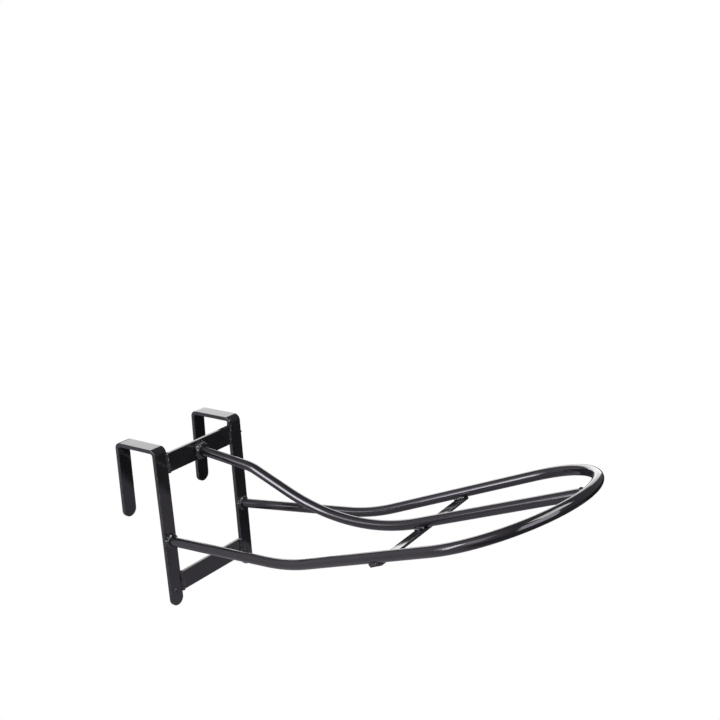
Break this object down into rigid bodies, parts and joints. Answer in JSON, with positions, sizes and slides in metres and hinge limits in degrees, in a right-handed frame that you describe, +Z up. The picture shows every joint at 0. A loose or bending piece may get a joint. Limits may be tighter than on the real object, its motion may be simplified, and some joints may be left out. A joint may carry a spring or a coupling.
{
  "type": "saddle rack",
  "caption": "Over-door saddle rack: flat hook bars and crossbars carry a rising loop of round bar with a centre spine and a flat brace.",
  "frame": {"origin": "on the middle plane, where the door's top edge meets the door face that the front bars lie against", "axes": "+X points away from the door towards the nose of the loop, +Y across the rack, +Z up"},
  "size_m": [0.5918, 0.2326, 0.2394],
  "materials": {
    "flat_bar_coat": "gloss black powder coat on flat steel bar",
    "round_bar_coat": "gloss black powder coat on round steel bar",
    "weld_coat": "gloss black powder coat over a lumpy weld bead"
  },
  "bodies": {
    "root": {"left_hook_bar": "flat_bar_coat", "right_hook_bar": "flat_bar_coat", "upper_crossbar": "flat_bar_coat", "lower_crossbar": "flat_bar_coat", "cross_brace": "flat_bar_coat", "saddle_loop": "round_bar_coat", "centre_spine": "round_bar_coat", "left_upper_crossbar_weld": "weld_coat", "left_lower_crossbar_weld": "weld_coat", "right_upper_crossbar_weld": "weld_coat", "right_lower_crossbar_weld": "weld_coat", "left_loop_root_weld": "weld_coat", "right_loop_root_weld": "weld_coat", "spine_root_weld": "weld_coat", "spine_tip_weld": "weld_coat", "left_brace_inner_weld": "weld_coat", "left_brace_outer_weld": "weld_coat", "right_brace_inner_weld": "weld_coat", "right_brace_outer_weld": "weld_coat", "spine_brace_left_weld": "weld_coat", "spine_brace_right_weld": "weld_coat"}
  },
  "joints": []
}
